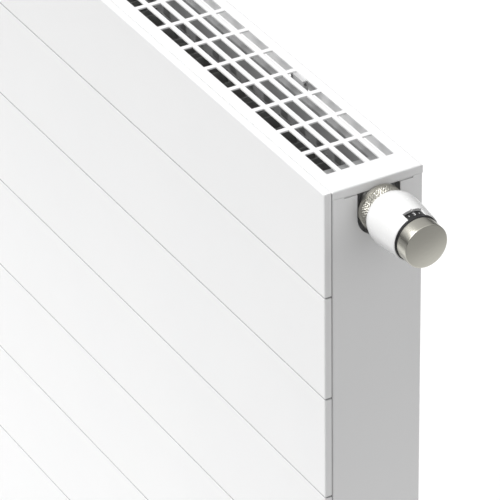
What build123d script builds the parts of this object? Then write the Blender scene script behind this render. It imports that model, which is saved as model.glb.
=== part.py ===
"""Flat-front double-panel radiator with grooved front plate, slotted top cover and thermostatic valve head.

Frame: millimetres, +Z up, +X to the right end that carries the valve, +Y to the wall. The origin is the
midpoint between the two upper hanging lugs, on the plane where the radiator bears on its wall brackets.
"""

import os

from build123d import *

# ---------------------------------------------------------------- driving dimensions
length = 1200.0
height = 900.0
depth = 105.0
hang_drop = 100.0  # top edge above the hanging line
strip_count = 8

half_length = length / 2
z_top = hang_drop
z_bottom = hang_drop - height

# front plate
plate_depth = 7.2
plate_sheet = 1.4
plate_edge_radius = 1.8
plate_gap = 1.2
groove_width = 2.6
groove_depth = 1.5
groove_pitch = height / strip_count
y_face = -depth
y_plate_back = y_face + plate_depth
y_cover_front = y_plate_back + plate_gap

# top grille and side covers
grille_sheet = 1.5
grille_flange = 8.5
grille_skirt = 22.0
slot_length = 40.4
slot_width = 10.4
slot_pitch_across = 15.45
slot_end_margin = 30.4
slot_columns = 25
slot_rows = 5
slot_corner = 0.6
cover_sheet = 1.25
cover_return = 10.0
bend_radius = 1.6
seam = 0.3
slit_length = 72.0
slit_height = 1.2
slit_drop = 1.3  # slit centre below the seam
slit_end_radius = 0.9
cutout_width = 46.0
cutout_drop = 36.0  # centre of the round bottom below the top edge
vent_hole_radius = 13.0

# water panels
panel_sheet = 1.25
channel_depth = 5.2
header_depth = 5.5
channel_pitch = 100.0 / 3
channel_count = 35
channel_crest = 15.0
channel_base = 24.0
channel_corner = 2.0
panel_half_length = 590.0
panel_top = z_top - 11.5
panel_bottom = z_bottom + 22.0
header_height = 30.0
front_seam_y = -87.5
rear_seam_y = -13.5
header_half = header_depth + panel_sheet
channel_half = channel_depth + panel_sheet
y_front_inner = front_seam_y + header_half
y_rear_inner = rear_seam_y - header_half
y_front_outer = front_seam_y - channel_half
y_rear_outer = rear_seam_y + channel_half

# convector fins
fin_sheet = 0.6
fin_depth = 27.0
fin_width = 11.0
fin_count = 31
fin_top = 45.0
fin_bottom = -735.0

# tees, connections and pipe
valve_y = -47.1
valve_z = 71.0
tee_x = 545.0
tee_radius = 13.5
tee_bore = 9.0
g_half_bore = 9.32
g_half_depth = 15.0
port_face = 588.0
lower_z = panel_bottom + 2.5 + header_height / 2
supply_x = 572.0
socket_spacing = 50.0
socket_face = z_bottom + 8.0
riser_radius = 8.0
riser_wall = 1.5
riser_seat = 10.0

# valve insert
insert_radius = 10.4
seat_x = 558.0
nose_end = half_length + 9.0
nose_radius = 14.9
spindle_radius = 2.0
running_gap = 0.05
cone_radius = 6.2

# thermostatic head, positions along X from the side cover's outer face
nut_back = 1.0
nut_front = 16.5
nut_radius = 23.2
shell_front = 65.5
ring_front = 67.5
cap_front = 83.8
cap_radius = 22.3
ring_radius = 22.9
shell_wall = 1.2
window_half_angle = 24.0
window_depth = 9.0

os.makedirs("parts", exist_ok=True)


def save(part, name):
    """Label a finished piece and write it."""
    part.label = name
    export_step(part, f"parts/{name}.step")


def port_plane(x, z, side):
    """Plane normal to X on the cover's middle line at height z, facing side * X; its local x is world Y."""
    return Plane(origin=(x, valve_y, z), x_dir=(0, 1, 0), z_dir=(side, 0, 0))


def axis_plane(x):
    """Plane normal to X at x, centred on the valve axis; its local x is world Y, its local y is world Z."""
    return port_plane(x, valve_z, 1)


def turned(points):
    """Solid of revolution about the valve axis from (x, radius) points."""
    with BuildPart() as body:
        with BuildSketch(Plane(origin=(0, valve_y, valve_z), x_dir=(1, 0, 0), z_dir=(0, -1, 0))):
            with BuildLine():
                Polyline(*points, close=True)
            make_face()
        revolve(axis=Axis((0, valve_y, valve_z), (1, 0, 0)))
    return body.part


# ---------------------------------------------------------------- front plate
groove_heights = [z_top - groove_pitch * i for i in range(1, strip_count)]


def groove_frame(z, width, reach, start):
    """Triangular ridge round the front and ends of the plate; its base lies start inside the surface."""
    with BuildPart() as ridge:
        with BuildSketch(Plane.YZ.offset(-half_length + start)):
            with Locations((y_face + start, z)):
                Polygon((0, width / 2), (0, -width / 2), (reach, 0), align=None)
        extrude(amount=length - 2 * start)
        for side in (-1, 1):
            with BuildSketch(Plane.XZ.offset(-y_plate_back)):
                with Locations((side * (half_length - start), z)):
                    Polygon((0, width / 2), (0, -width / 2), (-side * reach, 0), align=None)
            extrude(amount=plate_depth - start)
    return ridge.part


with BuildPart() as front_plate:
    with BuildSketch(Plane.XZ.offset(-y_plate_back)):
        with Locations((0, z_bottom + height / 2)):
            Rectangle(length, height)
    extrude(amount=plate_depth)
    front_edges = front_plate.faces().sort_by(Axis.Y)[0].edges()
    fillet(front_edges, plate_edge_radius)
    with BuildSketch(Plane.XZ.offset(-y_plate_back)):
        with Locations((0, z_bottom + height / 2)):
            Rectangle(length - 2 * plate_sheet, height - 2 * plate_sheet)
    extrude(amount=plate_depth - plate_sheet, mode=Mode.SUBTRACT)
    for z in groove_heights:
        add(groove_frame(z, groove_width + 2 * plate_sheet, groove_depth, plate_sheet - 0.01))
    for z in groove_heights:
        add(groove_frame(z, groove_width, groove_depth, 0.0), mode=Mode.SUBTRACT)
save(front_plate.part, "front_plate")

# hat-section clips that hold the plate off the front water panel
clip_wall = 1.0
clip_foot = 8.0
clip_height = 30.0
clip_rows = (-85.0, -650.0)
clip_crown = channel_crest - 3.0
clip_leg_x = channel_crest / 2 - 2.0
clip_front = y_face + plate_sheet

with BuildSketch() as hat_section:
    with Locations((0, y_front_outer - clip_wall / 2)):
        Rectangle(clip_crown, clip_wall)
    for side in (-1, 1):
        with Locations((side * clip_leg_x, (y_front_outer + clip_front) / 2)):
            Rectangle(clip_wall, y_front_outer - clip_front)
        with Locations((side * (clip_leg_x + clip_foot / 2), clip_front + clip_wall / 2)):
            Rectangle(clip_foot, clip_wall)

with BuildPart() as plate_clips:
    for z in clip_rows:
        with BuildSketch(Plane.XY.offset(z)):
            with GridLocations(channel_pitch * 10, 1, 4, 1):
                add(hat_section.sketch)
        extrude(amount=clip_height)
save(plate_clips.part, "plate_clips")

# ---------------------------------------------------------------- top grille
y_mid_cover = y_cover_front / 2
cover_depth = -y_cover_front
slot_pitch_along = (length - 2 * slot_end_margin - slot_length) / (slot_columns - 1)

with BuildPart() as top_grille:
    with BuildSketch(Plane.XY.offset(z_top - grille_flange)):
        with Locations((0, y_mid_cover)):
            Rectangle(length, cover_depth)
    extrude(amount=grille_flange)
    fillet(top_grille.edges().group_by(Axis.Z)[-1], bend_radius)
    with BuildSketch(Plane.XY.offset(z_top - grille_flange)):
        with Locations((0, y_mid_cover)):
            Rectangle(length - 2 * grille_sheet, cover_depth - 2 * grille_sheet)
    extrude(amount=grille_flange - grille_sheet, mode=Mode.SUBTRACT)
    with BuildSketch(Plane.XY.offset(z_top)):
        with Locations((0, y_mid_cover)):
            with GridLocations(slot_pitch_along, slot_pitch_across, slot_columns, slot_rows):
                RectangleRounded(slot_length, slot_width, slot_corner)
    extrude(amount=-grille_flange, mode=Mode.SUBTRACT)
    with BuildSketch(Plane.XY.offset(z_top - grille_skirt)):
        with Locations((0, -grille_sheet / 2)):
            Rectangle(length - 2 * (cover_return + 1), grille_sheet)
    extrude(amount=grille_skirt - grille_flange)
save(top_grille.part, "top_grille")

# clips that carry the grille on the panels' top edges
clip_length = 22.0
clip_body = 6.0
clip_bite = 2.0
clip_slot = 2 * panel_sheet
clip_top = z_top - grille_sheet
clip_bottom = panel_top - clip_bite
with BuildPart() as grille_clips:
    for y_seam in (front_seam_y, rear_seam_y):
        for x in (-400.0, 0.0, 400.0):
            with BuildSketch(Plane.YZ.offset(x - clip_length / 2)):
                with Locations((y_seam, (clip_top + clip_bottom) / 2)):
                    Rectangle(clip_body, clip_top - clip_bottom)
                with Locations((y_seam, panel_top - clip_bite / 2)):
                    Rectangle(clip_slot, clip_bite, mode=Mode.SUBTRACT)
                with Locations((y_seam, clip_top - 4.0)):
                    Rectangle(clip_body - 3.5, 3.0, mode=Mode.SUBTRACT)
            extrude(amount=clip_length)
save(grille_clips.part, "grille_clips")

# ---------------------------------------------------------------- side covers
cover_top = z_top - grille_flange - seam
tongue_gap = 0.4
tongue_rise = 5.0
tongue_length = cover_depth - 12.0
tongue_bottom = cover_top - slit_drop - 2.0
slit_z = cover_top - slit_drop
cutout_z = z_top - cutout_drop


def side_cover(side):
    """Bent steel end cover; side is +1 for the valve end and -1 for the vent end."""
    x_face = side * half_length
    x_tongue = side * (half_length - grille_sheet - tongue_gap)
    with BuildPart() as cover:
        with BuildSketch(Plane.XY.offset(z_bottom)):
            with Locations((x_face - side * cover_return / 2, y_mid_cover)):
                Rectangle(cover_return, cover_depth)
        extrude(amount=cover_top - z_bottom)
        outer = cover.edges().filter_by(Axis.Z).sort_by(Axis.X, reverse=side > 0)[:2]
        fillet(outer, bend_radius)
        with BuildSketch(Plane.XY.offset(z_bottom)):
            with Locations((x_face - side * (cover_return + cover_sheet) / 2, y_mid_cover)):
                Rectangle(cover_return - cover_sheet, cover_depth - 2 * cover_sheet)
        extrude(amount=cover_top - z_bottom, mode=Mode.SUBTRACT)
        with BuildSketch(Plane.XY.offset(tongue_bottom)):
            with Locations((x_tongue - side * cover_sheet / 2, y_mid_cover)):
                Rectangle(cover_sheet, tongue_length)
        extrude(amount=cover_top + tongue_rise - tongue_bottom)
        with BuildSketch(Plane.XY.offset(tongue_bottom)):
            with Locations((x_tongue + side * tongue_gap, y_mid_cover)):
                Rectangle(2 * tongue_gap, tongue_length)
        extrude(amount=cover_top - tongue_bottom)
        with BuildSketch(Plane.YZ.offset(x_face - side * cover_return)):
            if side > 0:
                with Locations((valve_y, slit_z)):
                    Rectangle(slit_length, slit_height)
                for end in (-1, 1):
                    with Locations((valve_y + end * slit_length / 2, slit_z)):
                        Circle(slit_end_radius)
                with Locations((valve_y, (slit_z + cutout_z) / 2)):
                    Rectangle(cutout_width, slit_z - cutout_z)
                with Locations((valve_y, cutout_z)):
                    Circle(cutout_width / 2)
            else:
                with Locations((valve_y, valve_z)):
                    Circle(vent_hole_radius)
        extrude(amount=side * cover_return, mode=Mode.SUBTRACT)
    return cover.part


save(side_cover(1), "side_cover_right")
save(side_cover(-1), "side_cover_left")

# plastic clips between the panel ends and the side covers
cover_clip_height = 24.0
cover_clip_reach = 11.0
with BuildPart() as side_cover_clips:
    for z in (-100.0, -600.0):
        for side in (-1, 1):
            for y_seam in (front_seam_y, rear_seam_y):
                with BuildSketch(Plane.XY.offset(z)):
                    with Locations((side * (half_length - cover_sheet - cover_clip_reach / 2), y_seam)):
                        Rectangle(cover_clip_reach, 9)
                    with Locations((side * (panel_half_length - 1), y_seam)):
                        Rectangle(4, clip_slot, mode=Mode.SUBTRACT)
                extrude(amount=cover_clip_height)
save(side_cover_clips.part, "side_cover_clips")

# ---------------------------------------------------------------- water panels
top_header_z = valve_z
bottom_header_z = lower_z
header_reach = panel_half_length - 6.0


def raised_outline(foot, crest, rise):
    """Rounded trapezoid on the seam line, carried a little below it so that cuts pass the seam plane."""
    with BuildSketch() as outline:
        Polygon((-foot, -1), (foot, -1), (foot, 0), (crest, rise), (-crest, rise), (-foot, 0), align=None)
        fillet(outline.vertices().group_by(Axis.Y)[-1], channel_corner)
    return outline.sketch


def relief(growth):
    """Channels and headers of a pressed sheet; growth is 0 for the waterway, the sheet for the outside."""
    slope = (channel_base - channel_crest) / 2
    spread = growth * 0.8
    reach = header_reach + spread
    header_foot = header_height / 2 + spread
    channel = raised_outline(channel_base / 2 + spread, channel_crest / 2 + spread, channel_depth + growth)
    header = raised_outline(header_foot, header_foot - slope, header_depth + growth)
    with BuildPart() as body:
        with BuildSketch(Plane.XY.offset(bottom_header_z)):
            with GridLocations(channel_pitch, 1, channel_count, 1):
                add(channel)
        extrude(amount=top_header_z - bottom_header_z)
        for z in (bottom_header_z, top_header_z):
            with BuildSketch(Plane(origin=(-reach, 0, z), x_dir=(0, 0, -1), z_dir=(1, 0, 0))):
                add(header)
            extrude(amount=2 * reach)
    return body.part


def pressed_sheet(ports):
    """One pressed steel half of a water panel: seams on y = 0, channels and headers raised towards +Y."""
    panel_mid_z = (panel_top + panel_bottom) / 2
    with BuildPart() as sheet:
        add(relief(panel_sheet))
        with BuildSketch(Plane.XZ):
            with Locations((0, panel_mid_z)):
                Rectangle(length, height)
        extrude(amount=5, mode=Mode.SUBTRACT)
        with BuildSketch(Plane.XZ):
            with Locations((0, panel_mid_z)):
                Rectangle(2 * panel_half_length, panel_top - panel_bottom)
        extrude(amount=-panel_sheet)
        add(relief(0.0), mode=Mode.SUBTRACT)
        if ports:
            with BuildSketch(Plane.XZ):
                with GridLocations(2 * tee_x, top_header_z - bottom_header_z, 2, 2):
                    with Locations((0, (top_header_z + bottom_header_z) / 2)):
                        Circle(tee_bore)
            extrude(amount=-2 * header_half, mode=Mode.SUBTRACT)
    return sheet.part


closed_sheet = pressed_sheet(False)
ported_sheet = pressed_sheet(True)
save(Pos(0, front_seam_y, 0) * mirror(closed_sheet, about=Plane.XZ), "front_panel_front_sheet")
save(Pos(0, front_seam_y, 0) * ported_sheet, "front_panel_rear_sheet")
save(Pos(0, rear_seam_y, 0) * mirror(ported_sheet, about=Plane.XZ), "rear_panel_front_sheet")
save(Pos(0, rear_seam_y, 0) * closed_sheet, "rear_panel_rear_sheet")

# ---------------------------------------------------------------- convector fins


def convector(y_base, side):
    """Corrugated fin sheet welded to a panel's inner face; side is its direction away from the panel."""
    with BuildPart() as fins:
        with BuildSketch(Plane.XY.offset(fin_bottom)):
            with GridLocations(channel_pitch, 1, fin_count, 1):
                for wall in (-1, 1):
                    with Locations((wall * (fin_width - fin_sheet) / 2, y_base + side * fin_depth / 2)):
                        Rectangle(fin_sheet, fin_depth)
                with Locations((0, y_base + side * (fin_depth - fin_sheet / 2))):
                    Rectangle(fin_width, fin_sheet)
            with GridLocations(channel_pitch, 1, fin_count - 1, 1):
                with Locations((0, y_base + side * fin_sheet / 2)):
                    Rectangle(channel_pitch - fin_width + 2 * fin_sheet, fin_sheet)
        extrude(amount=fin_top - fin_bottom)
    return fins.part


save(convector(front_seam_y + channel_half, 1), "front_convector")
save(convector(rear_seam_y - channel_half, -1), "rear_convector")

# ---------------------------------------------------------------- tees and connections
tee_span = y_rear_inner - y_front_inner


def cross_tube(x, z):
    """Short tube that joins the two panels' headers."""
    with BuildPart() as tube:
        with BuildSketch(Plane.XZ.offset(-y_front_inner)):
            with Locations((x, z)):
                Circle(tee_radius)
        extrude(amount=-tee_span)
    return tube.part


def plug_tee(z):
    """Corner tee at the vent end, with a tapped port towards -X."""
    with BuildPart() as tee:
        add(cross_tube(-tee_x, z))
        with BuildSketch(port_plane(-tee_x, z, -1)):
            Circle(tee_radius)
        extrude(amount=port_face - tee_x)
        with BuildSketch(Plane.XZ.offset(-y_front_inner)):
            with Locations((-tee_x, z)):
                Circle(tee_bore)
        extrude(amount=-tee_span, mode=Mode.SUBTRACT)
        with BuildSketch(port_plane(-port_face, z, 1)):
            Circle(g_half_bore)
        extrude(amount=port_face - tee_x, mode=Mode.SUBTRACT)
    return tee.part


save(plug_tee(top_header_z), "upper_left_tee")
save(plug_tee(bottom_header_z), "lower_left_tee")

collar_length = 8.0
boss_wall = 2.5
throat_radius = cone_radius - 1.2
with BuildPart() as valve_housing:
    add(cross_tube(tee_x, valve_z))
    with BuildSketch(axis_plane(tee_x)):
        Circle(tee_radius)
    extrude(amount=port_face - tee_x)
    with BuildSketch(axis_plane(port_face - collar_length)):
        Circle(tee_radius + 1.5)
    extrude(amount=collar_length)
    with BuildSketch(Plane.XY.offset(valve_z - tee_radius - riser_seat)):
        with Locations((supply_x, valve_y)):
            Circle(riser_radius + boss_wall)
    extrude(amount=tee_radius + riser_seat)
    with BuildSketch(Plane.XZ.offset(-y_front_inner)):
        with Locations((tee_x, valve_z)):
            Circle(tee_bore)
    extrude(amount=-tee_span, mode=Mode.SUBTRACT)
    with BuildSketch(axis_plane(seat_x)):
        Circle(insert_radius + running_gap)
    extrude(amount=port_face - seat_x, mode=Mode.SUBTRACT)
    with BuildSketch(axis_plane(tee_x)):
        Circle(throat_radius)
    extrude(amount=seat_x - tee_x, mode=Mode.SUBTRACT)
    with BuildSketch(Plane.XY.offset(valve_z - tee_radius - riser_seat)):
        with Locations((supply_x, valve_y)):
            Circle(riser_radius + running_gap)
    extrude(amount=riser_seat, mode=Mode.SUBTRACT)
    with BuildSketch(Plane.XY.offset(valve_z - tee_radius)):
        with Locations((supply_x, valve_y)):
            Circle(riser_radius - riser_wall)
    extrude(amount=tee_radius, mode=Mode.SUBTRACT)
save(valve_housing.part, "valve_housing")

return_x = supply_x - socket_spacing
block_top = lower_z + tee_radius
socket_hex_height = 18.0
bar_bottom = socket_face + 10.0
bar_width = 20.0
with BuildPart() as connection_block:
    add(cross_tube(tee_x, lower_z))
    for x in (supply_x, return_x):
        with BuildSketch(Plane.XY.offset(socket_face)):
            with Locations((x, valve_y)):
                RegularPolygon(tee_radius, 6, major_radius=False)
        extrude(amount=socket_hex_height)
    with BuildSketch(Plane.XY.offset(bar_bottom)):
        with Locations(((supply_x + return_x) / 2, valve_y)):
            Rectangle(socket_spacing + bar_width, bar_width)
    extrude(amount=block_top - bar_bottom)
    with BuildSketch(Plane.XZ.offset(-y_front_inner)):
        with Locations((tee_x, lower_z)):
            Circle(tee_bore)
    extrude(amount=-tee_span, mode=Mode.SUBTRACT)
    for x in (supply_x, return_x):
        with BuildSketch(Plane.XY.offset(socket_face)):
            with Locations((x, valve_y)):
                Circle(g_half_bore)
        extrude(amount=g_half_depth, mode=Mode.SUBTRACT)
    with BuildSketch(Plane.XY.offset(socket_face)):
        with Locations((return_x, valve_y)):
            Circle(riser_radius - riser_wall)
    extrude(amount=lower_z - socket_face, mode=Mode.SUBTRACT)
    with BuildSketch(port_plane(return_x, lower_z, 1)):
        Circle(riser_radius - riser_wall)
    extrude(amount=tee_x - return_x, mode=Mode.SUBTRACT)
    with BuildSketch(Plane.XY.offset(socket_face)):
        with Locations((supply_x, valve_y)):
            Circle(riser_radius - riser_wall)
    extrude(amount=block_top - socket_face, mode=Mode.SUBTRACT)
    with BuildSketch(Plane.XY.offset(block_top)):
        with Locations((supply_x, valve_y)):
            Circle(riser_radius + running_gap)
    extrude(amount=-riser_seat, mode=Mode.SUBTRACT)
save(connection_block.part, "connection_block")

riser_bottom = block_top - riser_seat
riser_top = valve_z - tee_radius
with BuildPart() as riser_pipe:
    with BuildSketch(Plane.XY.offset(riser_bottom)):
        with Locations((supply_x, valve_y)):
            Circle(riser_radius)
            Circle(riser_radius - riser_wall, mode=Mode.SUBTRACT)
    extrude(amount=riser_top - riser_bottom)
save(riser_pipe.part, "riser_pipe")

# plugs with flat gaskets at the vent end
plug_x = -port_face
gasket_thickness = 1.5
plug_flange = 4.0
plug_thread = 12.0
plug_radius = 12.5
flange_x = plug_x - gasket_thickness


def gasket(z):
    """Flat fibre ring between a tee's face and its plug."""
    with BuildPart() as ring:
        with BuildSketch(port_plane(plug_x, z, -1)):
            Circle(plug_radius)
            Circle(g_half_bore + 0.3, mode=Mode.SUBTRACT)
        extrude(amount=gasket_thickness)
    return ring.part


with BuildPart() as plug_gaskets:
    add(gasket(top_header_z))
    add(gasket(bottom_header_z))
save(plug_gaskets.part, "plug_gaskets")


def plug(z):
    """Threaded plug body with a round flange, on the vent end's ports."""
    with BuildPart() as body:
        with BuildSketch(port_plane(flange_x, z, -1)):
            Circle(plug_radius)
        extrude(amount=plug_flange)
        with BuildSketch(port_plane(flange_x, z, 1)):
            Circle(g_half_bore - running_gap)
        extrude(amount=plug_thread)
    return body.part


hex_across = 10.0
hex_depth = 8.0
plug_outer_x = flange_x - plug_flange
with BuildPart() as blanking_plug:
    add(plug(bottom_header_z))
    with BuildSketch(port_plane(plug_outer_x, bottom_header_z, 1)):
        RegularPolygon(hex_across / 2, 6, major_radius=False)
    extrude(amount=hex_depth, mode=Mode.SUBTRACT)
save(blanking_plug.part, "blanking_plug")

screw_radius = 4.0
screw_length = 9.0
vent_bore = 1.5
vent_outlet = 0.9
with BuildPart() as vent_plug:
    add(plug(top_header_z))
    with BuildSketch(port_plane(plug_outer_x, top_header_z, 1)):
        Circle(screw_radius + running_gap)
    extrude(amount=screw_length, mode=Mode.SUBTRACT)
    with BuildSketch(port_plane(plug_outer_x, top_header_z, 1)):
        Circle(vent_bore)
    extrude(amount=plug_flange + plug_thread, mode=Mode.SUBTRACT)
    with BuildSketch(Plane.XY.offset(top_header_z)):
        with Locations((plug_outer_x + plug_flange / 2, valve_y)):
            Circle(vent_outlet)
    extrude(amount=-plug_radius, mode=Mode.SUBTRACT)
save(vent_plug.part, "vent_plug")

key_square = 5.0
with BuildPart() as vent_screw:
    with BuildSketch(port_plane(plug_outer_x, top_header_z, 1)):
        Circle(screw_radius)
    extrude(amount=screw_length - 1)
    with BuildSketch(port_plane(plug_outer_x, top_header_z, -1)):
        Rectangle(key_square, key_square)
    extrude(amount=4)
save(vent_screw.part, "vent_screw")

# ---------------------------------------------------------------- hanging lugs
lug_x = channel_pitch * 13
lug_rows = (0.0, -640.0)
lug_width = 14.0
lug_height = 56.0
lug_sheet = 1.5
lug_foot = 12.0
with BuildPart() as hanging_lugs:
    for x in (-lug_x, lug_x):
        for z in lug_rows:
            with BuildSketch(Plane.YZ.offset(x - lug_width / 2)):
                with Locations((-lug_sheet / 2, z)):
                    Rectangle(lug_sheet, lug_height - 2 * lug_foot)
                for end in (-1, 1):
                    leg_z = z + end * (lug_height / 2 - lug_foot - lug_sheet / 2)
                    foot_z = z + end * (lug_height / 2 - lug_foot / 2)
                    with Locations((y_rear_outer / 2, leg_z)):
                        Rectangle(-y_rear_outer, lug_sheet)
                    with Locations((y_rear_outer + lug_sheet / 2, foot_z)):
                        Rectangle(lug_sheet, lug_foot)
            extrude(amount=lug_width)
save(hanging_lugs.part, "hanging_lugs")

# ---------------------------------------------------------------- valve insert
bonnet_bore = 9.9
stem_bore = spindle_radius + running_gap
lift = 1.3  # gap between cone and seat at the middle setting
insert_tip = seat_x + 10.0
gland_x = nose_end - 10.0
guide_x = seat_x + 20.0

save(
    turned(
        [
            (insert_tip, cone_radius + 0.8),
            (insert_tip, insert_radius),
            (port_face, insert_radius),
            (port_face, tee_radius + 0.5),
            (port_face + 5, tee_radius + 0.5),
            (port_face + 5, nose_radius),
            (nose_end, nose_radius),
            (nose_end, bonnet_bore),
            (gland_x, bonnet_bore),
            (gland_x, 5.0),
            (gland_x - 4, 5.0),
            (gland_x - 4, stem_bore),
            (guide_x, stem_bore),
            (guide_x, cone_radius + 0.8),
        ]
    ),
    "valve_insert_body",
)

save(
    turned(
        [
            (seat_x, throat_radius),
            (seat_x, insert_radius),
            (seat_x + 2.5, insert_radius),
            (seat_x + 2.5, cone_radius + 1.5),
            (seat_x + 1.2, throat_radius),
        ]
    ),
    "valve_seat_ring",
)

seal_x = seat_x + 2.5 + lift
save(
    turned(
        [
            (seal_x, 0.0),
            (seal_x, cone_radius),
            (seal_x + 2.0, cone_radius),
            (seal_x + 2.0, 0.0),
        ]
    ),
    "valve_seal_disc",
)

spindle_end = nose_end + 3.5
save(
    turned(
        [
            (seal_x + 2.0, 0.0),
            (seal_x + 2.0, cone_radius),
            (seal_x + 3.2, cone_radius),
            (seal_x + 3.2, spindle_radius),
            (spindle_end - 0.6, spindle_radius),
            (spindle_end, spindle_radius - 0.6),
            (spindle_end, 0.0),
        ]
    ),
    "valve_spindle",
)

wire = 0.45
coil_radius = 4.4
spring_start = seal_x + 3.2 + wire
spring_length = guide_x - spring_start - wire
with BuildPart() as return_spring:
    with BuildLine() as coil:
        Helix(spring_length / 5, spring_length, coil_radius, (spring_start, valve_y, valve_z), (1, 0, 0))
    with BuildSketch(Plane(origin=coil.line @ 0, z_dir=coil.line % 0)):
        Circle(wire)
    sweep(is_frenet=True)
save(return_spring.part, "return_spring")

save(
    turned(
        [
            (gland_x - 4, stem_bore + 0.2),
            (gland_x - 4, 4.9),
            (gland_x - 1.5, 4.9),
            (gland_x - 1.5, stem_bore + 0.2),
        ]
    ),
    "gland_o_ring",
)

save(
    turned(
        [
            (gland_x - 1.4, stem_bore),
            (gland_x - 1.4, 4.9),
            (gland_x, 4.9),
            (gland_x, 6.6),
            (gland_x + 5, 6.6),
            (gland_x + 5, stem_bore),
        ]
    ),
    "gland_nut",
)

preset_inner = 6.9
with BuildPart() as preset_ring:
    add(
        turned(
            [
                (gland_x + 0.1, preset_inner),
                (gland_x + 0.1, bonnet_bore - running_gap),
                (nose_end + 1.0, bonnet_bore - running_gap),
                (nose_end + 1.0, preset_inner),
            ]
        )
    )
    with BuildSketch(axis_plane(nose_end + 1.0)):
        with PolarLocations(preset_inner + 1.5, 8):
            Rectangle(1.8, 1.6)
    extrude(amount=-2, mode=Mode.SUBTRACT)
save(preset_ring.part, "preset_ring")

# ---------------------------------------------------------------- thermostatic head
x0 = half_length
knurl_count = 60
knurl_start = x0 + 6.0
knurl_end = x0 + nut_front - 1.0
knurl_cut = 0.7
core_radius = 17.0
with BuildPart() as union_nut:
    add(
        turned(
            [
                (x0 + nut_back, nose_radius + running_gap),
                (x0 + nut_back, nut_radius - 0.8),
                (x0 + nut_back + 0.8, nut_radius),
                (x0 + nut_front - 0.8, nut_radius),
                (x0 + nut_front, nut_radius - 0.8),
                (x0 + nut_front, core_radius - 1.5),
                (nose_end + 0.5, core_radius - 1.5),
                (nose_end + 0.5, nose_radius + running_gap),
            ]
        )
    )
    with BuildSketch(axis_plane(knurl_start)):
        with PolarLocations(nut_radius, knurl_count):
            Rectangle(knurl_cut, knurl_cut)
    extrude(amount=knurl_end - knurl_start, mode=Mode.SUBTRACT)
save(union_nut.part, "union_nut")

# plastic core that the nut holds and that carries the shell
core_back = x0 + nut_front + 0.4
core_flange = 23.5
core_front = x0 + 51.0
sleeve_bore = 14.6
save(
    turned(
        [
            (nose_end + 1.6, 10.4),
            (nose_end + 1.6, core_radius - 1.9),
            (core_back, core_radius - 1.9),
            (core_back, core_flange),
            (core_back + 2.0, core_flange),
            (core_back + 2.0, core_radius),
            (core_front, core_radius),
            (core_front, sleeve_bore),
            (core_back + 2.5, sleeve_bore),
            (core_back + 2.5, 10.4),
        ]
    ),
    "head_core",
)

shell_back = core_back
shell_profile = [(0.0, 24.8), (4.0, 26.3), (12.0, 27.2), (22.0, 27.0), (34.0, 25.9), (46.0, 24.8)]
lip_radius = ring_radius + 0.4
lip_depth = 2.2
window_inner = 20.0
window_outer = 30.0


def shell_side(offset):
    """Outer or inner generator of the barrel shell as (x, radius) points."""
    return [(shell_back + x, radius - offset) for x, radius in shell_profile]


with BuildPart() as head_shell:
    with BuildSketch(Plane(origin=(0, valve_y, valve_z), x_dir=(1, 0, 0), z_dir=(0, -1, 0))):
        with BuildLine():
            outside = Spline(*shell_side(0.0))
            inside = Spline(*shell_side(shell_wall))
            Polyline(outside @ 1, (x0 + shell_front, lip_radius + 0.6), (x0 + shell_front, lip_radius))
            Polyline((x0 + shell_front, lip_radius), (x0 + shell_front - lip_depth, lip_radius), inside @ 1)
            Line(outside @ 0, inside @ 0)
        make_face()
    revolve(axis=Axis((0, valve_y, valve_z), (1, 0, 0)))
    with BuildSketch(axis_plane(x0 + shell_front - window_depth)):
        with BuildLine():
            for radius in (window_inner, window_outer):
                CenterArc((0, 0), radius, 90 - window_half_angle, 2 * window_half_angle)
            for angle in (90 - window_half_angle, 90 + window_half_angle):
                inner_end = Vector(window_inner, 0).rotate(Axis.Z, angle)
                outer_end = Vector(window_outer, 0).rotate(Axis.Z, angle)
                Line(inner_end, outer_end)
        make_face()
    extrude(amount=window_depth + 1, mode=Mode.SUBTRACT)
save(head_shell.part, "head_shell")

ring_back = x0 + shell_front - 14.0
sleeve_radius = 14.2
save(
    turned(
        [
            (ring_back, sleeve_radius - 1.6),
            (ring_back, sleeve_radius),
            (core_front + 0.6, sleeve_radius),
            (core_front + 0.6, ring_radius),
            (x0 + ring_front, ring_radius),
            (x0 + ring_front, sleeve_radius - 1.6),
        ]
    ),
    "number_ring",
)

cap_wall = 1.4
with BuildPart() as grip_cap:
    add(
        turned(
            [
                (x0 + ring_front, 0.0),
                (x0 + ring_front, cap_radius),
                (x0 + cap_front, cap_radius),
                (x0 + cap_front, 0.0),
            ]
        )
    )
    fillet(grip_cap.edges().filter_by(GeomType.CIRCLE).sort_by(Axis.X)[-1], 1.4)
    with BuildSketch(axis_plane(x0 + ring_front)):
        Circle(cap_radius - cap_wall)
    extrude(amount=cap_front - ring_front - cap_wall, mode=Mode.SUBTRACT)
save(grip_cap.part, "grip_cap")

# sensor, its carrier, the push pin and the over-travel spring
sensor_back = x0 + 26.0
sensor_front = x0 + 54.0
sensor_radius = 11.0
save(
    turned(
        [
            (sensor_back, 0.0),
            (sensor_back, sensor_radius - 1.5),
            (sensor_back + 1.5, sensor_radius),
            (sensor_front - 1.5, sensor_radius),
            (sensor_front, sensor_radius - 1.5),
            (sensor_front, 0.0),
        ]
    ),
    "sensor_capsule",
)

pin_radius = 3.0
pin_back = spindle_end
pin_flange = 9.0
save(
    turned(
        [
            (pin_back, 0.0),
            (pin_back, pin_radius),
            (sensor_back - 2.0, pin_radius),
            (sensor_back - 2.0, pin_flange),
            (sensor_back, pin_flange),
            (sensor_back, 0.0),
        ]
    ),
    "push_pin",
)

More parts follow.
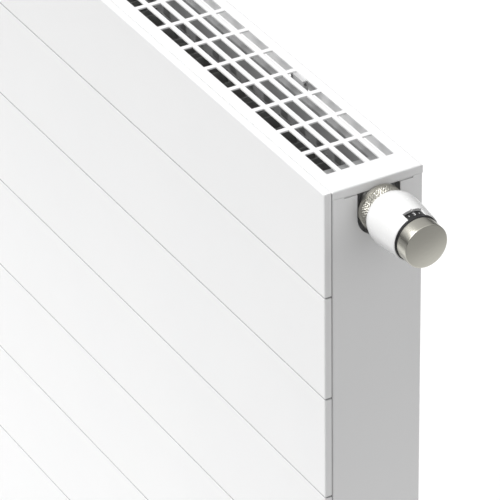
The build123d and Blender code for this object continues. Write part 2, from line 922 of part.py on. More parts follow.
spring_wire = 0.7
overtravel_radius = 7.5
overtravel_start = sensor_front + spring_wire
overtravel_length = 16.0
with BuildPart() as overtravel_spring:
    with BuildLine() as coil:
        Helix(
            overtravel_length / 4,
            overtravel_length,
            overtravel_radius,
            (overtravel_start, valve_y, valve_z),
            (1, 0, 0),
        )
    with BuildSketch(Plane(origin=coil.line @ 0, z_dir=coil.line % 0)):
        Circle(spring_wire)
    sweep(is_frenet=True)
save(overtravel_spring.part, "overtravel_spring")

carrier_front = overtravel_start + overtravel_length + spring_wire + 1.5
save(
    turned(
        [
            (sensor_front - 8.0, sensor_radius + 0.3),
            (sensor_front - 8.0, sensor_radius + 1.3),
            (carrier_front, sensor_radius + 1.3),
            (carrier_front, 0.0),
            (carrier_front - 1.5, 0.0),
            (carrier_front - 1.5, sensor_radius + 0.3),
        ]
    ),
    "sensor_carrier",
)
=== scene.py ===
"""Looks of the flat-front radiator with thermostatic head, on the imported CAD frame. Metres, +Z up."""

import math

import bmesh
import bpy
from mathutils import Matrix, Vector


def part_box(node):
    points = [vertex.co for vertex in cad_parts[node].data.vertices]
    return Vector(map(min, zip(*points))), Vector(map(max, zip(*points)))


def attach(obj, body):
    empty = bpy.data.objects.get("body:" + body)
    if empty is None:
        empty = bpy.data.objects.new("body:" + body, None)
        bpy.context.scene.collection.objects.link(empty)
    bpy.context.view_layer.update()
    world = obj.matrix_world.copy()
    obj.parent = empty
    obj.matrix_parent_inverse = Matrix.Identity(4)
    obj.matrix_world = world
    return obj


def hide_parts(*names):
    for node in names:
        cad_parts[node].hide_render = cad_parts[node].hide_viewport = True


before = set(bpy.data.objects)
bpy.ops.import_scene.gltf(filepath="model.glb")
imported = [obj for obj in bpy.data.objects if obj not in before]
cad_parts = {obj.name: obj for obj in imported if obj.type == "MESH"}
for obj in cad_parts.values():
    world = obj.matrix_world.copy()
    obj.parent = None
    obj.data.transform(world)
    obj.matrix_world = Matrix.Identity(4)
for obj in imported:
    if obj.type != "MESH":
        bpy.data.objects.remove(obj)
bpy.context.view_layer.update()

MM = 0.001

# ------------------------------------------------------------------ places read from the frame
nut_low, nut_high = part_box("union_nut")
shell_low, shell_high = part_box("head_shell")
ring_low, ring_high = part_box("number_ring")
cap_low, cap_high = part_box("grip_cap")
cover_low, cover_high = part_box("side_cover_right")
grille_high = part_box("top_grille")[1]
plate_low, plate_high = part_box("front_plate")
END_X = cover_high.x
AXIS_Y = (nut_low.y + nut_high.y) / 2
AXIS_Z = (nut_low.z + nut_high.z) / 2
RING_RADIUS = (ring_high.z - ring_low.z) / 2
LIP_GAP = 0.4 * MM
LIP = RING_RADIUS + LIP_GAP
WINDOW_LENGTH = 9.0 * MM


# ------------------------------------------------------------------ camera, light and floor
def photo_camera():
    """Camera at the photograph's viewing angle, aimed near the upper right corner."""
    azimuth = math.radians(60.52)
    elevation = math.radians(32.33)
    roll = math.radians(-0.81)
    distance = 3.8504
    sensor_width = 36.0
    lens = 305.8
    view_depth = 60.0
    corner = Vector((END_X, cover_low.y, grille_high.z))
    aim = Vector((-0.0135, -0.0790, -0.0429))
    forward = Vector((
        -math.sin(azimuth) * math.cos(elevation),
        math.cos(azimuth) * math.cos(elevation),
        -math.sin(elevation),
    ))
    right = Vector((math.cos(azimuth), math.sin(azimuth), 0.0))
    up = right.cross(forward)
    right, up = (
        right * math.cos(roll) + up * math.sin(roll),
        up * math.cos(roll) - right * math.sin(roll),
    )
    data = bpy.data.cameras.new("camera")
    data.sensor_width = sensor_width
    data.lens = lens
    data.clip_end = view_depth
    camera = bpy.data.objects.new("camera", data)
    turn = Matrix((right, up, -forward)).transposed().to_4x4()
    camera.matrix_world = Matrix.Translation(corner + aim - forward * distance) @ turn
    bpy.context.scene.collection.objects.link(camera)
    bpy.context.scene.camera = camera


def studio_world():
    """Soft ceiling light that falls off towards a dim horizon."""
    horizon, ceiling, zenith = (0.08, 0.05), (0.36, 0.46), (1.0, 0.62)
    world = bpy.data.worlds.new("studio")
    world.use_nodes = True
    nodes, links = world.node_tree.nodes, world.node_tree.links
    place = nodes.new("ShaderNodeTexCoord")
    split = nodes.new("ShaderNodeSeparateXYZ")
    ramp = nodes.new("ShaderNodeValToRGB")
    stops = ramp.color_ramp.elements
    stops.new(ceiling[0])
    for stop, (height, level) in zip(stops, (horizon, ceiling, zenith)):
        stop.position = height
        stop.color = (level, level, level, 1)
    links.new(place.outputs["Generated"], split.inputs[0])
    links.new(split.outputs["Z"], ramp.inputs["Fac"])
    links.new(ramp.outputs["Color"], nodes["Background"].inputs["Color"])
    bpy.context.scene.world = world


def sun(name, azimuth, elevation, strength, angle):
    """Soft sun from a direction in degrees: azimuth 0 is in front, 90 is at the valve end."""
    data = bpy.data.lights.new(name, "SUN")
    data.energy = strength
    data.angle = math.radians(angle)
    lamp = bpy.data.objects.new(name, data)
    az, el = math.radians(azimuth), math.radians(elevation)
    toward = Vector((math.sin(az) * math.cos(el), -math.cos(az) * math.cos(el), math.sin(el)))
    lamp.matrix_world = toward.to_track_quat("Z", "Y").to_matrix().to_4x4()
    bpy.context.scene.collection.objects.link(lamp)


def floor_plane():
    """Glowing floor below the radiator that gives off light in a painted pool, with less of it in a
    painted shadow under the radiator.
    """
    drop = 0.12
    half = 15.0
    z = plate_low.z - drop
    corners = [(-half, -half, z), (half, -half, z), (half, half, z), (-half, half, z)]
    mesh = bpy.data.meshes.new("floor")
    mesh.from_pydata(corners, [], [(0, 1, 2, 3)])
    floor = bpy.data.objects.new("floor", mesh)
    bpy.context.scene.collection.objects.link(floor)
    shade = Shade("glowing_floor")
    shade.set({"Base Color": (0.2, 0.2, 0.2, 1), "Roughness": 0.9, "Specular IOR Level": 0.0})
    shade.set({"Emission Color": (1.0, 1.0, 1.0, 1)})
    strength = shade.calc("MULTIPLY", floor_pool(shade), floor_dimming(shade))
    shade.links.new(strength, shade.bsdf.inputs["Emission Strength"])
    mesh.materials.append(shade.material)


def floor_pool(shade):
    """Strength of the floor's light, which fades with the distance from the pool's centre."""
    centre = (-0.5, 0.7, 0.0)
    bright, dim = 0.86, 0.10
    fade_start, fade_end = 1.3, 2.9
    away = shade.vector_calc("SUBTRACT", shade.place, centre).outputs[0]
    flat = shade.vector_calc("MULTIPLY", away, (1.0, 1.0, 0.0)).outputs[0]
    far = shade.vector_calc("LENGTH", flat).outputs["Value"]
    return shade.map_range(far, (fade_start, fade_end), (bright, dim), "SMOOTHSTEP")


def floor_dimming(shade):
    """Share of the floor's light that is left, lowest in a soft-edged rectangle under the radiator: a
    painted shadow.
    """
    # Painted shadow: under the radiator the floor's glow drops to this share.
    least = 0.3
    along, across = (0.55, 0.85), (0.08, 0.24)
    parts = shade.node("ShaderNodeSeparateXYZ", {0: shade.place})
    edges = []
    for axis, middle, fade in (("X", 0.0, along), ("Y", plate_low.y / 2, across)):
        reach = shade.calc("ABSOLUTE", shade.calc("SUBTRACT", parts.outputs[axis], middle))
        edges.append(shade.map_range(reach, fade, (least, 1.0), "SMOOTHSTEP"))
    return shade.calc("MAXIMUM", *edges)


# ------------------------------------------------------------------ materials
class Shade:
    """A principled material with a few short helpers for procedural detail in object space."""

    NOISE_SPAN = (0.3, 0.7)

    def __init__(self, name):
        self.material = bpy.data.materials.new(name)
        self.material.use_nodes = True
        self.nodes = self.material.node_tree.nodes
        self.links = self.material.node_tree.links
        self.bsdf = self.nodes["Principled BSDF"]
        self.place = self.nodes.new("ShaderNodeTexCoord").outputs["Object"]

    def set(self, values):
        """Set shader sockets to plain values."""
        for socket, value in values.items():
            self.bsdf.inputs[socket].default_value = value
        return self

    def node(self, kind, inputs, **settings):
        """New node; inputs pairs a socket with a value or with another node's output."""
        new = self.nodes.new(kind)
        for key, value in settings.items():
            setattr(new, key, value)
        for socket, value in inputs.items():
            if isinstance(value, bpy.types.NodeSocket):
                self.links.new(value, new.inputs[socket])
            else:
                new.inputs[socket].default_value = value
        return new

    def calc(self, operation, *values):
        """Output of a maths node."""
        return self.node("ShaderNodeMath", dict(enumerate(values)), operation=operation).outputs[0]

    def vector_calc(self, operation, *values):
        """A vector maths node."""
        return self.node("ShaderNodeVectorMath", dict(enumerate(values)), operation=operation)

    def map_range(self, value, source, target, easing="LINEAR"):
        """Map a value from one range to another."""
        inputs = {"Value": value, "From Min": source[0], "From Max": source[1]}
        inputs.update({"To Min": target[0], "To Max": target[1]})
        return self.node("ShaderNodeMapRange", inputs, interpolation_type=easing).outputs["Result"]

    def noise(self, scale, detail=2.0, vector=None):
        """Noise value about 0.5, in object space or in a space of its own."""
        inputs = {"Vector": vector or self.place, "Scale": scale, "Detail": detail, "Roughness": 0.5}
        return self.node("ShaderNodeTexNoise", inputs).outputs["Fac"]

    def tint(self, value, dark, light):
        """Blend two colours by a noise value."""
        ramp = self.node("ShaderNodeValToRGB", {"Fac": value})
        for stop, position, colour in zip(ramp.color_ramp.elements, self.NOISE_SPAN, (dark, light)):
            stop.position = position
            stop.color = (*colour, 1)
        self.links.new(ramp.outputs["Color"], self.bsdf.inputs["Base Color"])

    def rough(self, value, span):
        """Vary the roughness over a range by a noise value."""
        self.links.new(self.map_range(value, self.NOISE_SPAN, span), self.bsdf.inputs["Roughness"])

    def bump(self, value, strength, distance):
        """Add a bump on top of any bump that is there already."""
        normal = self.bsdf.inputs["Normal"]
        inputs = {"Height": value, "Strength": strength, "Distance": distance}
        if normal.is_linked:
            inputs["Normal"] = normal.links[0].from_socket
        self.links.new(self.node("ShaderNodeBump", inputs).outputs["Normal"], normal)

    def axial(self, around):
        """Coordinates about the valve axis: x, radius, and a little of the turn."""
        parts = self.node("ShaderNodeSeparateXYZ", {0: self.place})
        y = self.calc("SUBTRACT", parts.outputs["Y"], AXIS_Y)
        z = self.calc("SUBTRACT", parts.outputs["Z"], AXIS_Z)
        flat = self.node("ShaderNodeCombineXYZ", {0: y, 1: z}).outputs[0]
        radius = self.vector_calc("LENGTH", flat).outputs["Value"]
        turn = self.calc("MULTIPLY", self.calc("ARCTAN2", z, y), around)
        return self.node("ShaderNodeCombineXYZ", {0: parts.outputs["X"], 1: radius, 2: turn}).outputs[0]


def enamel(name, light, dark, rough=(0.34, 0.44)):
    """Satin powder coat: fine orange peel, faint broad colour drift and uneven sheen."""
    shade = Shade(name).set({"Coat Weight": 0.12, "Coat Roughness": 0.25})
    shade.tint(shade.noise(scale=5.0, detail=3.0), dark, light)
    shade.rough(shade.noise(scale=70.0, detail=3.0), rough)
    shade.bump(shade.noise(scale=900.0), strength=0.10, distance=0.0003)
    shade.bump(shade.noise(scale=3500.0, detail=1.0), strength=0.05, distance=0.0001)
    return shade


def grooved_enamel(name, light, dark):
    """The front plate's coat, with painted shade darkening the bottom of each groove."""
    shade = enamel(name, light, dark)
    pitch = (plate_high.z - plate_low.z) / 8
    outer_groove = 3.5 * pitch
    # Painted shade: a dark band along each of the seven inner groove lines, darkest within 0.5 mm of the
    # line and gone at 1.3 mm.
    line, shade_depth = (0.0005, 0.0013), 0.72
    painted_groove_shade = (0.16, 0.16, 0.165, 1)
    height = shade.node("ShaderNodeSeparateXYZ", {0: shade.place}).outputs["Z"]
    from_line = shade.calc("PINGPONG", shade.calc("SUBTRACT", height, plate_high.z), pitch / 2)
    edge = shade.map_range(from_line, line, (shade_depth, 0.0))
    middle = (plate_high.z + plate_low.z) / 2
    from_middle = shade.calc("ABSOLUTE", shade.calc("SUBTRACT", height, middle))
    shade_mask = shade.calc("MULTIPLY", edge, shade.calc("LESS_THAN", from_middle, outer_groove))
    coat = shade.bsdf.inputs["Base Color"]
    colours = {"Factor": shade_mask, 6: coat.links[0].from_socket, 7: painted_groove_shade}
    blend = shade.node("ShaderNodeMix", colours, data_type="RGBA")
    shade.links.new(blend.outputs[2], coat)
    return shade


def dusty_fin(name, light, dark):
    """Thin dip coat on folded sheet: dull, slightly streaked along the fins and dusty, in tones dark
    enough to paint the shade inside the radiator.
    """
    shade = Shade(name).set({"Specular IOR Level": 0.35})
    stretch = (60.0, 60.0, 3.0)
    streak = shade.node("ShaderNodeMapping", {"Vector": shade.place, "Scale": stretch}).outputs[0]
    shade.tint(shade.noise(scale=1.0, detail=4.0, vector=streak), dark, light)
    shade.rough(shade.noise(scale=120.0), (0.5, 0.7))
    shade.bump(shade.noise(scale=1.0, detail=3.0, vector=streak), strength=0.15, distance=0.0003)
    return shade


def turned_metal(name, light, dark, rough, grain=0.12, marks=0.03):
    """Lathe-turned or brushed metal about the valve axis, with fine rings and faint marks."""
    shade = Shade(name).set({"Metallic": 1.0})
    rings = shade.axial(around=0.00012)
    shade.tint(shade.noise(scale=2600.0, detail=3.0, vector=rings), dark, light)
    shade.rough(shade.noise(scale=3200.0, detail=3.0, vector=rings), rough)
    shade.bump(shade.noise(scale=4200.0, vector=rings), strength=grain, distance=0.00005)
    shade.bump(shade.noise(scale=240.0, detail=3.0), strength=marks, distance=0.0002)
    return shade


def plastic(name, light, dark, rough, grain=0.06, coat=0.0):
    """Injection-moulded plastic with a fine texture and faint flow marks."""
    shade = Shade(name).set({"Coat Weight": coat, "Coat Roughness": 0.12})
    shade.tint(shade.noise(scale=40.0), dark, light)
    shade.rough(shade.noise(scale=300.0), rough)
    shade.bump(shade.noise(scale=5000.0, detail=1.0), strength=grain, distance=0.00008)
    return shade


def wire(name, light, dark, rough):
    """Drawn spring wire or stamped steel with small scratches."""
    shade = Shade(name).set({"Metallic": 1.0})
    shade.tint(shade.noise(scale=900.0, detail=4.0), dark, light)
    shade.rough(shade.noise(scale=1500.0, detail=3.0), rough)
    shade.bump(shade.noise(scale=2400.0, detail=3.0), strength=0.08, distance=0.0001)
    return shade


WHITE_COAT = ((0.875, 0.875, 0.875), (0.860, 0.861, 0.863))
# Painted shade: the inner panel sheets, tees and valve housing take a grey copy of the white enamel, as
# dark as the shade inside the radiator.
PANEL_COAT_PAINTED_SHADE = ((0.40, 0.40, 0.402), (0.36, 0.362, 0.365))
REAR_COAT = ((0.82, 0.82, 0.82), (0.785, 0.787, 0.79))
# Painted shade: the convector fins' tones are kept dark to stand for the shade inside the radiator.
FIN_COAT_WITH_PAINTED_SHADE = ((0.36, 0.36, 0.357), (0.24, 0.24, 0.238))
NICKEL_TONES = ((0.675, 0.66, 0.59), (0.665, 0.65, 0.58))
KNURL_TONES = ((0.56, 0.545, 0.49), (0.42, 0.41, 0.37))
PLUG_TONES = ((0.66, 0.65, 0.63), (0.58, 0.57, 0.55))
BRASS_TONES = ((0.78, 0.60, 0.30), (0.66, 0.50, 0.25))
CAPSULE_TONES = ((0.74, 0.74, 0.75), (0.64, 0.64, 0.66))
GLOSS_TONES = ((0.90, 0.90, 0.895), (0.885, 0.885, 0.88))
GREY_TONES = ((0.62, 0.62, 0.62), (0.54, 0.54, 0.545))
BLACK_TONES = ((0.016, 0.016, 0.017), (0.010, 0.010, 0.011))
PRINT_TONES = ((0.86, 0.86, 0.86), (0.80, 0.80, 0.80))
RED_TONES = ((0.55, 0.05, 0.04), (0.45, 0.04, 0.035))
RUBBER_AND_SHADE_TONES = ((0.03, 0.03, 0.03), (0.02, 0.02, 0.02))
FIBRE_TONES = ((0.30, 0.13, 0.09), (0.22, 0.09, 0.06))
STEEL_TONES = ((0.52, 0.52, 0.53), (0.34, 0.34, 0.35))

WHITE = enamel("enamel_white", *WHITE_COAT).material
FRONT = grooved_enamel("enamel_front", *WHITE_COAT).material
PANEL_PAINTED_SHADE = enamel("enamel_panel_painted_shade", *PANEL_COAT_PAINTED_SHADE, rough=(0.38, 0.52)).material
REAR = enamel("enamel_rear", *REAR_COAT, rough=(0.38, 0.50)).material
FIN = dusty_fin("fin_coat", *FIN_COAT_WITH_PAINTED_SHADE).material
NICKEL = turned_metal(
    "satin_nickel", *NICKEL_TONES, rough=(0.25, 0.27), grain=0.002, marks=0.002
).material
KNURL = turned_metal("knurled_nickel", *KNURL_TONES, rough=(0.30, 0.42)).material
PLUG = turned_metal("plug_nickel_finish", *PLUG_TONES, rough=(0.18, 0.28)).material
BRASS = turned_metal("turned_brass", *BRASS_TONES, rough=(0.20, 0.34)).material
CAPSULE = turned_metal("capsule_metal", *CAPSULE_TONES, rough=(0.2, 0.3)).material
GLOSS = plastic("head_white_gloss", *GLOSS_TONES, rough=(0.20, 0.28), grain=0.02, coat=0.35).material
GREY = plastic("moulded_grey", *GREY_TONES, rough=(0.40, 0.52)).material
BLACK = plastic("ring_black_matt", *BLACK_TONES, rough=(0.38, 0.5)).material
PRINT = plastic("number_print", *PRINT_TONES, rough=(0.4, 0.5)).material
RED = plastic("preset_red", *RED_TONES, rough=(0.35, 0.45)).material
# Black rubber for the valve seals, also used as painted shade for the beads in the plate gap and behind
# the slit.
RUBBER_AND_PAINTED_SHADE = plastic("black_rubber_and_painted_shade", *RUBBER_AND_SHADE_TONES, rough=(0.6, 0.75)).material
FIBRE = plastic("gasket_fibre", *FIBRE_TONES, rough=(0.7, 0.85), grain=0.2).material
STEEL = wire("drawn_steel", *STEEL_TONES, rough=(0.22, 0.42)).material

NODE_MATERIALS = {
    "front_plate": FRONT,
    "top_grille": WHITE,
    "side_cover_right": WHITE,
    "side_cover_left": WHITE,
    "front_panel_front_sheet": PANEL_PAINTED_SHADE,
    "front_panel_rear_sheet": PANEL_PAINTED_SHADE,
    "rear_panel_front_sheet": PANEL_PAINTED_SHADE,
    "rear_panel_rear_sheet": REAR,
    "front_convector": FIN,
    "rear_convector": FIN,
    "upper_left_tee": PANEL_PAINTED_SHADE,
    "lower_left_tee": REAR,
    "valve_housing": PANEL_PAINTED_SHADE,
    "connection_block": REAR,
    "riser_pipe": REAR,
    "hanging_lugs": REAR,
    "plate_clips": STEEL,
    "grille_clips": GREY,
    "side_cover_clips": GREY,
    "plug_gaskets": FIBRE,
    "blanking_plug": PLUG,
    "vent_plug": PLUG,
    "vent_screw": PLUG,
    "valve_insert_body": PLUG,
    "valve_seat_ring": BRASS,
    "gland_nut": BRASS,
    "valve_seal_disc": RUBBER_AND_PAINTED_SHADE,
    "gland_o_ring": RUBBER_AND_PAINTED_SHADE,
    "valve_spindle": STEEL,
    "return_spring": STEEL,
    "overtravel_spring": STEEL,
    "preset_ring": RED,
    "union_nut": KNURL,
    "head_core": GREY,
    "head_shell": GLOSS,
    "number_ring": BLACK,
    "grip_cap": NICKEL,
    "sensor_capsule": CAPSULE,
    "push_pin": GREY,
    "sensor_carrier": GREY,
}


def dress_nodes():
    """Give each CAD node its material."""
    for name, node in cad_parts.items():
        node.data.materials.clear()
        node.data.materials.append(NODE_MATERIALS[name])


# ------------------------------------------------------------------ mesh helpers
def mesh_object(name, bm):
    """Object in the scene made from a bmesh, with its normals facing outwards."""
    bmesh.ops.recalc_face_normals(bm, faces=bm.faces)
    mesh = bpy.data.meshes.new(name)
    bm.to_mesh(mesh)
    bm.free()
    made = bpy.data.objects.new(name, mesh)
    bpy.context.scene.collection.objects.link(made)
    return made


def shade_smooth(mesh, angle=35.0):
    """Smooth shading that stays sharp at edges above an angle in degrees."""
    for polygon in mesh.polygons:
        polygon.use_smooth = True
    mesh.set_sharp_from_angle(angle=math.radians(angle))


def new_piece(name, bm, material, body, smooth_angle=35.0):
    """Turn a bmesh into a piece that rides on a body."""
    piece = mesh_object(name, bm)
    shade_smooth(piece.data, smooth_angle)
    piece.data.materials.append(material)
    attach(piece, body)
    return piece


def on_axis(x, radius, turn):
    """Point at an x, at a radius from the valve axis and a turn from +Z towards -Y."""
    return Vector((x, AXIS_Y - radius * math.sin(turn), AXIS_Z + radius * math.cos(turn)))


def join_loops(bm, first, second):
    """Faces between two closed loops with as many points each; a point may repeat at a pole."""
    for corners in zip(first, first[1:] + first[:1], second[1:] + second[:1], second):
        corners = list(dict.fromkeys(corners))
        if len(corners) > 2:
            bm.faces.new(corners)


def rounded(profile, corner, steps):
    """Round the corners of an open (x, radius) profile by cutting each with a short arc."""
    longest_share = 0.45
    points = [Vector(p) for p in profile]
    result = [points[0]]
    for before, here, after in zip(points, points[1:], points[2:]):
        back, ahead = before - here, after - here
        reach = min(corner, back.length * longest_share, ahead.length * longest_share)
        start = here + back.normalized() * reach
        end = here + ahead.normalized() * reach
        for i in range(steps + 1):
            t = i / steps
            result.append(start * (1 - t) ** 2 + here * 2 * t * (1 - t) + end * t ** 2)
    result.append(points[-1])
    return result


def lathe(profile, segments=160):
    """Closed surface of revolution about the valve axis from (x, radius) points."""
    pole = 1e-6
    bm = bmesh.new()
    turns = [2 * math.pi * i / segments for i in range(segments)]
    loops = []
    for x, radius in profile:
        if radius < pole:
            loops.append([bm.verts.new(on_axis(x, 0.0, 0.0))] * segments)
        else:
            loops.append([bm.verts.new(on_axis(x, radius, turn)) for turn in turns])
    for first, second in zip(loops, loops[1:] + loops[:1]):
        join_loops(bm, first, second)
    return bm


def wedge(x_ends, radii, start, end, steps):
    """Closed block about the valve axis between two x values, two radii and two turns."""
    bm = bmesh.new()
    turns = [start + (end - start) * i / steps for i in range(steps + 1)]
    a, b, c, d = (
        [bm.verts.new(on_axis(x, radius, turn)) for turn in turns]
        for x in x_ends
        for radius in radii
    )
    for i in range(steps):
        for first, second in ((a, b), (c, d), (a, c), (b, d)):
            bm.faces.new((first[i], first[i + 1], second[i + 1], second[i]))
    for i in (0, steps):
        bm.faces.new((a[i], b[i], d[i], c[i]))
    return bm


def cut_out(piece, block):
    """Subtract a closed block from a piece."""
    cutter = mesh_object("cutter", block)
    step = piece.modifiers.new("cut", "BOOLEAN")
    step.operation = "DIFFERENCE"
    step.solver = "EXACT"
    step.object = cutter
    bpy.context.view_layer.update()
    cut = piece.evaluated_get(bpy.context.evaluated_depsgraph_get())
    result = bpy.data.meshes.new_from_object(cut)
    piece.modifiers.clear()
    piece.data = result
    shade_smooth(result)
    bpy.data.objects.remove(cutter)


# ------------------------------------------------------------------ head
def grip_cap():
    """Satin metal cup with a slightly domed face, a crisp rounded rim and a rolled back edge."""
    back, front = cap_low.x, cap_high.x
    radius = (cap_high.z - cap_low.z) / 2
    wall = 1.3 * MM
    dome = 1.3 * MM
    rolled_edge = 0.35 * MM
    straight = 6 * MM
    face_thickness = 2.8 * MM
    rim_round = 1.1 * MM
    edge = radius - 0.15 * MM
    profile = [
        (back, radius - wall),
        (back, radius - rolled_edge),
        (back + rolled_edge, radius),
        (back + straight, radius - 0.05 * MM),
        (front - dome, edge),
    ]
    for part in (0.93, 0.8, 0.6, 0.4, 0.2, 0.0):
        profile.append((front - dome * (part * edge / radius) ** 2, part * edge))
    inner = [Vector((front - face_thickness, r)) for r in (0.0, radius - wall)]
    bm = lathe(rounded(profile, rim_round, steps=6) + inner)
    piece = new_piece("grip_cap_metal", bm, NICKEL, "grip", smooth_angle=50.0)
    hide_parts("grip_cap")


def number_ring():
    """Black ring behind the cap, with white numbers and marks that pass under the window."""
    back, front = ring_low.x, ring_high.x
    sleeve = 14.2 * MM
    bore = sleeve - 1.6 * MM
    bevel = 0.3 * MM
    step = front - 15.6 * MM
    profile = [
        (back, bore),
        (back, sleeve),
        (step, sleeve),
        (step, RING_RADIUS - bevel),
        (step + bevel, RING_RADIUS),
        (front - bevel, RING_RADIUS),
        (front, RING_RADIUS - bevel),
        (front, bore),
    ]
    ring = new_piece("number_ring_black", lathe(profile), BLACK, "grip")
    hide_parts("number_ring")
    window_middle = shell_high.x - 4.6 * MM
    spacing = math.radians(54.0)
    highest, middle_number = 5, 3
    for value in range(highest + 1):
        turn = (middle_number - value) * spacing
        curved_number(str(value), window_middle, turn)
        if value < highest:
            for part in (0.25, 0.5, 0.75):
                length = (3.2 if part == 0.5 else 1.8) * MM
                mark_bar(f"mark_{value}_{int(part * 100)}", window_middle, turn - part * spacing, length)


def curved_number(text, x, turn):
    """A raised number wrapped on the ring, read from the front of the head."""
    size = 6.4 * MM
    height = 0.06 * MM
    longest_edge = size * 0.2
    curve = bpy.data.curves.new("number", "FONT")
    curve.body = text
    curve.size = size
    curve.align_x = "CENTER"
    curve.align_y = "CENTER"
    curve.resolution_u = 4
    holder = bpy.data.objects.new("number", curve)
    bpy.context.scene.collection.objects.link(holder)
    bpy.context.view_layer.update()
    flat = bpy.data.meshes.new_from_object(holder)
    bpy.data.objects.remove(holder)
    outline = bmesh.new()
    outline.from_mesh(flat)
    long_edges = [edge for edge in outline.edges if edge.calc_length() > longest_edge]
    bmesh.ops.subdivide_edges(outline, edges=long_edges, cuts=2)
    outline.verts.index_update()
    places = [(x - vertex.co.y, turn - vertex.co.x / RING_RADIUS) for vertex in outline.verts]
    bm = bmesh.new()
    lower = [bm.verts.new(on_axis(along, RING_RADIUS - height, around)) for along, around in places]
    upper = [bm.verts.new(on_axis(along, RING_RADIUS + height, around)) for along, around in places]
    for face in outline.faces:
        for level in (lower, upper):
            bm.faces.new([level[vertex.index] for vertex in face.verts])
    for edge in outline.edges:
        if edge.is_boundary:
            first, second = (vertex.index for vertex in edge.verts)
            bm.faces.new((lower[first], lower[second], upper[second], upper[first]))
    outline.free()
    new_piece(f"number_{text}", bm, PRINT, "grip")


def mark_bar(name, x, turn, length):
    """Short raised bar between two numbers."""
    height = 0.06 * MM
    half_turn = 0.28 * MM / RING_RADIUS
    bm = bmesh.new()
    corners = []
    for lift in (-height, height):
        for dx, side in ((-1, -1), (1, -1), (1, 1), (-1, 1)):
            point = on_axis(x + dx * length / 2, RING_RADIUS + lift, turn + side * half_turn)
            corners.append(bm.verts.new(point))
    for face in ((0, 1, 2, 3), (4, 5, 6, 7), (0, 1, 5, 4), (1, 2, 6, 5), (2, 3, 7, 6), (3, 0, 4, 7)):
        bm.faces.new([corners[i] for i in face])
    new_piece(name, bm, PRINT, "grip")


def barrel_profile():
    """Outer generator of the barrel from its back rim to its front lip, as (x, radius) points."""
    back, front = shell_low.x, shell_high.x
    widest = (shell_high.z - shell_low.z) / 2
    rim, rim_end = 24.2 * MM, 0.3 * MM
    swell = widest - 24.25 * MM
    shoulder_share, shoulder_power = 0.30, 2.2
    taper_start, taper_share, taper_power = 0.34, 0.66, 1.3
    taper_depth = 2.75 * MM
    steps = 30
    points = [(back, 23.4 * MM), (back + 0.15 * MM, 24.0 * MM)]
    for i in range(1, steps + 1):
        t = i / steps
        x = back + rim_end + t * (front - 1.9 * MM - back)
        shoulder = 1 - (1 - min(t / shoulder_share, 1.0)) ** shoulder_power
        taper = max(t - taper_start, 0.0) / taper_share
        points.append((x, rim + swell * shoulder - taper_depth * taper ** taper_power))
    for drop, rise in ((0.6, 0.85), (0.1, 0.6), (0.0, 0.3), (0.0, 0.0)):
        points.append((front - drop * MM, LIP + rise * MM))
    return points


def head_shell():
    """White barrel, thick at the front lip, with the window and its pointer notch cut through."""
    back, front = shell_low.x, shell_high.x
    lip_back = front - 12.0 * MM
    inside = [
        (lip_back, LIP),
        (lip_back, LIP + 0.6 * MM),
        (back + 18 * MM, LIP + 1.6 * MM),
        (back + 2.0 * MM, LIP + 0.2 * MM),
        (back, 22.8 * MM),
    ]
    bm = lathe(barrel_profile() + inside, segments=192)
    shell = new_piece("head_barrel", bm, GLOSS, "radiator")
    window_back = front - WINDOW_LENGTH
    beyond, overlap = 34 * MM, 0.5 * MM
    window_half, notch_half = math.radians(23.0), math.radians(1.7)
    window_ends, window_radii = (window_back, front + 2 * MM), (21 * MM, beyond)
    notch_ends, notch_radii = (window_back - 1.6 * MM, window_back + overlap), (23.6 * MM, beyond)
    cut_out(shell, wedge(window_ends, window_radii, -window_half, window_half, steps=16))
    cut_out(shell, wedge(notch_ends, notch_radii, -notch_half, notch_half, steps=16))
    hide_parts("head_shell")


def window_liner():
    """Grey liner at the back wall of the window, in two halves beside the pointer notch."""
    x = shell_high.x - WINDOW_LENGTH
    thickness = 0.5 * MM
    radii = (LIP - 0.2 * MM, LIP + 2.3 * MM)
    for name, side in (("window_liner_right", -1), ("window_liner_left", 1)):
        start, end = math.radians(2.2) * side, math.radians(22.6) * side
        bm = wedge((x, x + thickness), radii, start, end, steps=12)
        new_piece(name, bm, GREY, "radiator")


def union_nut():
    """Nickel ring with a smooth back rim and a fine diamond knurl."""
    back, front = nut_low.x, nut_high.x
    radius = (nut_high.z - nut_low.z) / 2
    bore = 15.2 * MM
    rim = radius - 0.05 * MM
    groove = radius - 0.7 * MM
    knurl_root, knurl_depth, knurl_sharpness = radius - 0.80 * MM, 0.78 * MM, 0.8
    knurl_lean = 2.5
    start, end = back + 5.2 * MM, front - 0.9 * MM
    segments, teeth, rows = 288, 54, 22
    turns = [2 * math.pi * i / segments for i in range(segments)]

    def knurl(turn, lean):
        first = abs(math.sin(teeth * turn / 2 + lean))
        second = abs(math.sin(teeth * turn / 2 - lean))
        return knurl_root + knurl_depth * min(first, second) ** knurl_sharpness

    plain_back = [
        (back, bore), (back, radius - 0.9 * MM), (back + 0.9 * MM, rim),
        (back + 4.4 * MM, rim), (back + 4.7 * MM, groove), (start, groove),
    ]
    plain_front = [(end, groove), (front, radius - 1.3 * MM), (front, bore)]
    sections = [(x, [r] * segments) for x, r in plain_back]
    for row in range(1, rows):
        share = row / rows
        lean = share * knurl_lean * math.pi
        sections.append((start + (end - start) * share, [knurl(turn, lean) for turn in turns]))
    sections += [(x, [r] * segments) for x, r in plain_front]
    bm = bmesh.new()
    loops = [
        [bm.verts.new(on_axis(x, r, turn)) for r, turn in zip(radii, turns)]
        for x, radii in sections
    ]
    for first, second in zip(loops, loops[1:] + loops[:1]):
        join_loops(bm, first, second)
    piece = new_piece("union_nut_knurled", bm, KNURL, "radiator", smooth_angle=30.0)
    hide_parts("union_nut")


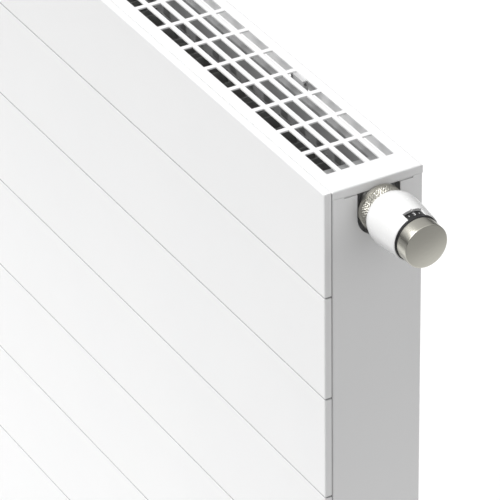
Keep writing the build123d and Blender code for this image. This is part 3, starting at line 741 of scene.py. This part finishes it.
# ------------------------------------------------------------------ small details on the panels
def spot_welds():
    """Rows of shallow spot-weld rings on the rear panel's seams between its channels."""
    low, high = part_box("rear_panel_rear_sheet")
    pitch = 100.0 / 3 * MM
    sheet_thickness = 1.25 * MM
    seam_y = low.y + sheet_thickness
    margin = 0.075
    half_columns, rows, segments = 17, 9, 14
    ring_steps = ((2.9, 0.02), (2.4, 0.22), (1.9, 0.20), (1.4, 0.05))
    turns = [2 * math.pi * i / segments for i in range(segments)]
    bm = bmesh.new()
    for column in range(-half_columns, half_columns):
        x = (column + 0.5) * pitch
        for row in range(rows):
            z = low.z + margin + row * (high.z - low.z - 2 * margin) / (rows - 1)
            loops = []
            for radius, lift in ring_steps:
                y = seam_y + lift * MM
                loops.append([
                    bm.verts.new((x + radius * MM * math.cos(turn), y, z + radius * MM * math.sin(turn)))
                    for turn in turns
                ])
            for first, second in zip(loops, loops[1:]):
                join_loops(bm, first, second)
            bm.faces.new(loops[-1])
    new_piece("spot_welds", bm, REAR, "radiator")


def strip(name, path, across, half_width, half_depth):
    """Closed dark bead along a polyline, standing as painted shade; across is the direction of its
    width.
    """
    sides = 12
    sharpest = 0.2
    turns = [2 * math.pi * i / sides for i in range(sides)]
    bm = bmesh.new()
    loops = []
    points = [Vector(p) for p in path]
    for index, point in enumerate(points):
        before = (point - points[index - 1]).normalized() if index else None
        after = (points[index + 1] - point).normalized() if index + 1 < len(points) else None
        run = ((before or after) + (after or before)).normalized()
        depth = run.cross(across).normalized()
        stretch = 1.0 / max(run.dot(after), sharpest) if before and after else 1.0
        loops.append([
            bm.verts.new(
                point
                + across * half_width * math.cos(turn)
                + depth * half_depth * stretch * math.sin(turn)
            )
            for turn in turns
        ])
    for first, second in zip(loops, loops[1:]):
        join_loops(bm, first, second)
    bm.faces.new(loops[0])
    bm.faces.new(loops[-1])
    # The bead wears the black rubber material as painted shade.
    new_piece(name, bm, RUBBER_AND_PAINTED_SHADE, "radiator")


def plate_seal():
    """Dark bead in the gap between the front plate and the covers, standing as painted shade in the gap.
    """
    y = (plate_high.y + cover_low.y) / 2
    x = END_X - 3.0 * MM
    top = plate_high.z - 3.4 * MM
    bottom = plate_low.z + 6 * MM
    path = [(-x, y, bottom), (-x, y, top), (x, y, top), (x, y, bottom)]
    strip("plate_seal", path, Vector((0, 1, 0)), half_width=0.55 * MM, half_depth=1.4 * MM)


def slit_seal():
    """Dark bead behind the slit at the top of the side cover's face, standing as painted shade in the
    slit.
    """
    flange = 8.5 * MM
    seam = 0.3 * MM
    slit_drop = 1.3 * MM
    half_length = 37 * MM
    x = END_X - 5.2 * MM
    z = grille_high.z - flange - seam - slit_drop
    path = [(x, AXIS_Y - half_length, z), (x, AXIS_Y + half_length, z)]
    strip("slit_seal", path, Vector((0, 0, 1)), half_width=1.8 * MM, half_depth=0.6 * MM)


# ------------------------------------------------------------------ build
bpy.context.scene.view_settings.view_transform = "Standard"
photo_camera()
studio_world()
sun("key", azimuth=-25.0, elevation=50.0, strength=2.75, angle=40.0)
sun("side", azimuth=100.0, elevation=22.0, strength=0.42, angle=50.0)
floor_plane()
dress_nodes()
grip_cap()
number_ring()
head_shell()
window_liner()
union_nut()
spot_welds()
plate_seal()
slit_seal()
